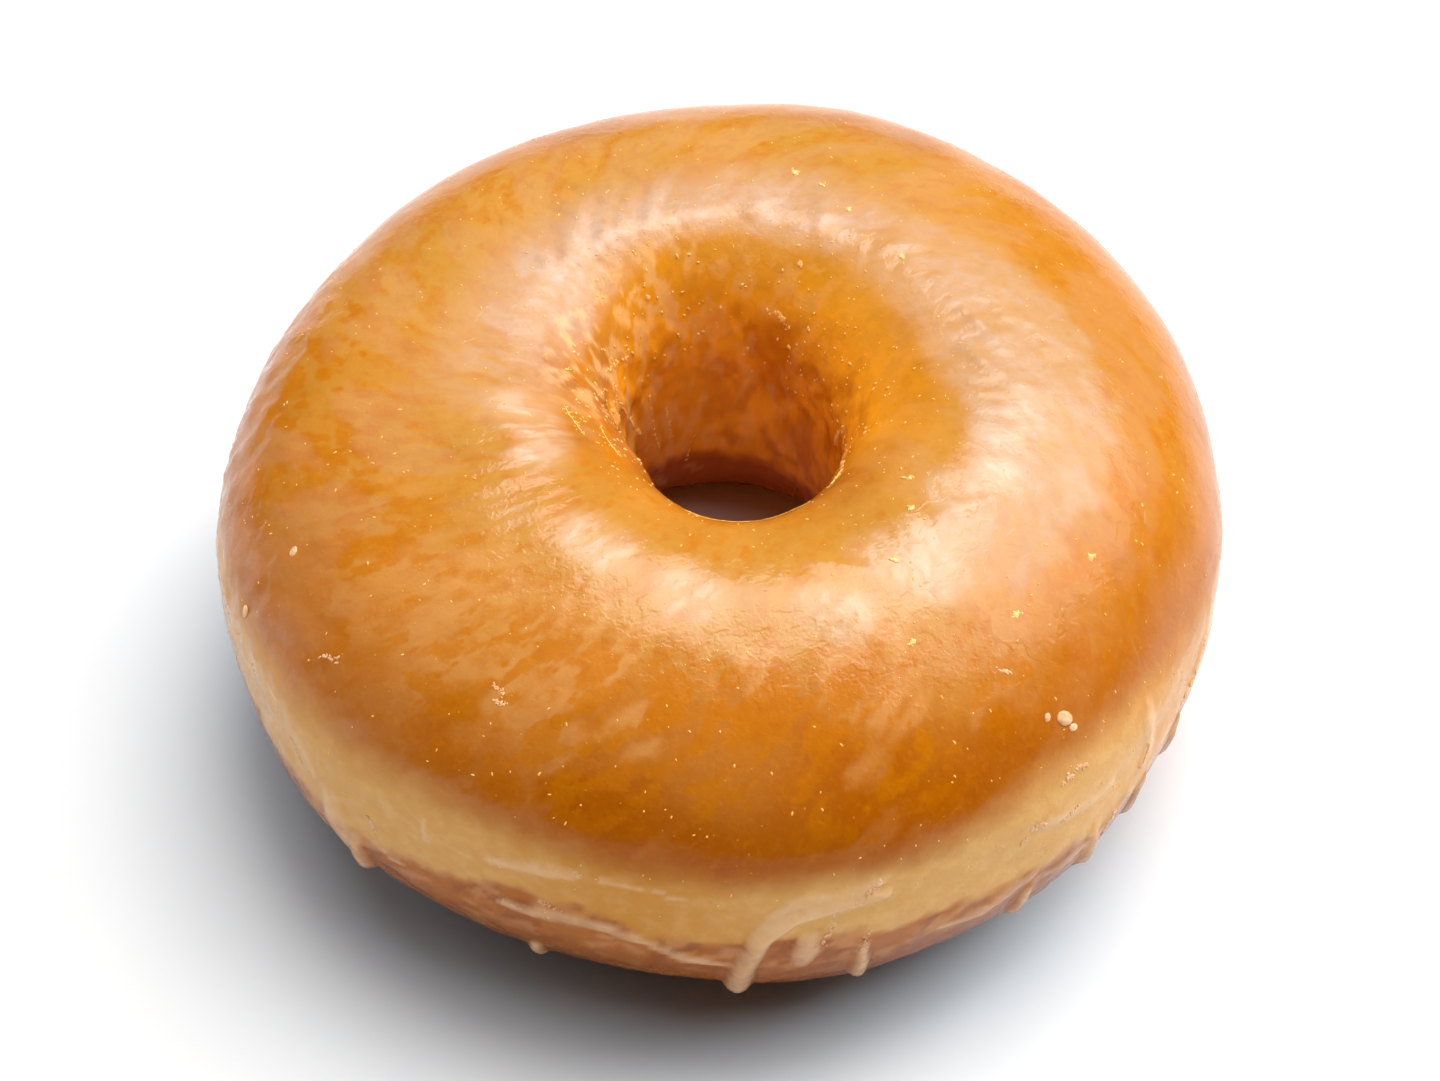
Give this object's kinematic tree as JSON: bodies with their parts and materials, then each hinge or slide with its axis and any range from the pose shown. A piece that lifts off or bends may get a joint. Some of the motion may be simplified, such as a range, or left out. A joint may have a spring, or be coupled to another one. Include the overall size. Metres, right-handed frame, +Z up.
{
  "type": "glazed ring doughnut",
  "caption": "Plump yeast-raised ring doughnut with a brown crust, a pale float line round its middle and a clear sugar glaze that hangs in small drips from its lower edge.",
  "frame": {"origin": "centre of the doughnut's box at the level of the surface that it rests on", "axes": "+Z up through the hole, +X to the right and -Y towards the viewer in the picture's view"},
  "size_m": [0.0902, 0.0936, 0.0368],
  "materials": {
    "glazed_crust": "golden-brown fried crust under a thin, milky-clear sugar glaze, glossy with soft broad highlights"
  },
  "bodies": {
    "root": {"doughnut": "glazed_crust"}
  },
  "joints": []
}
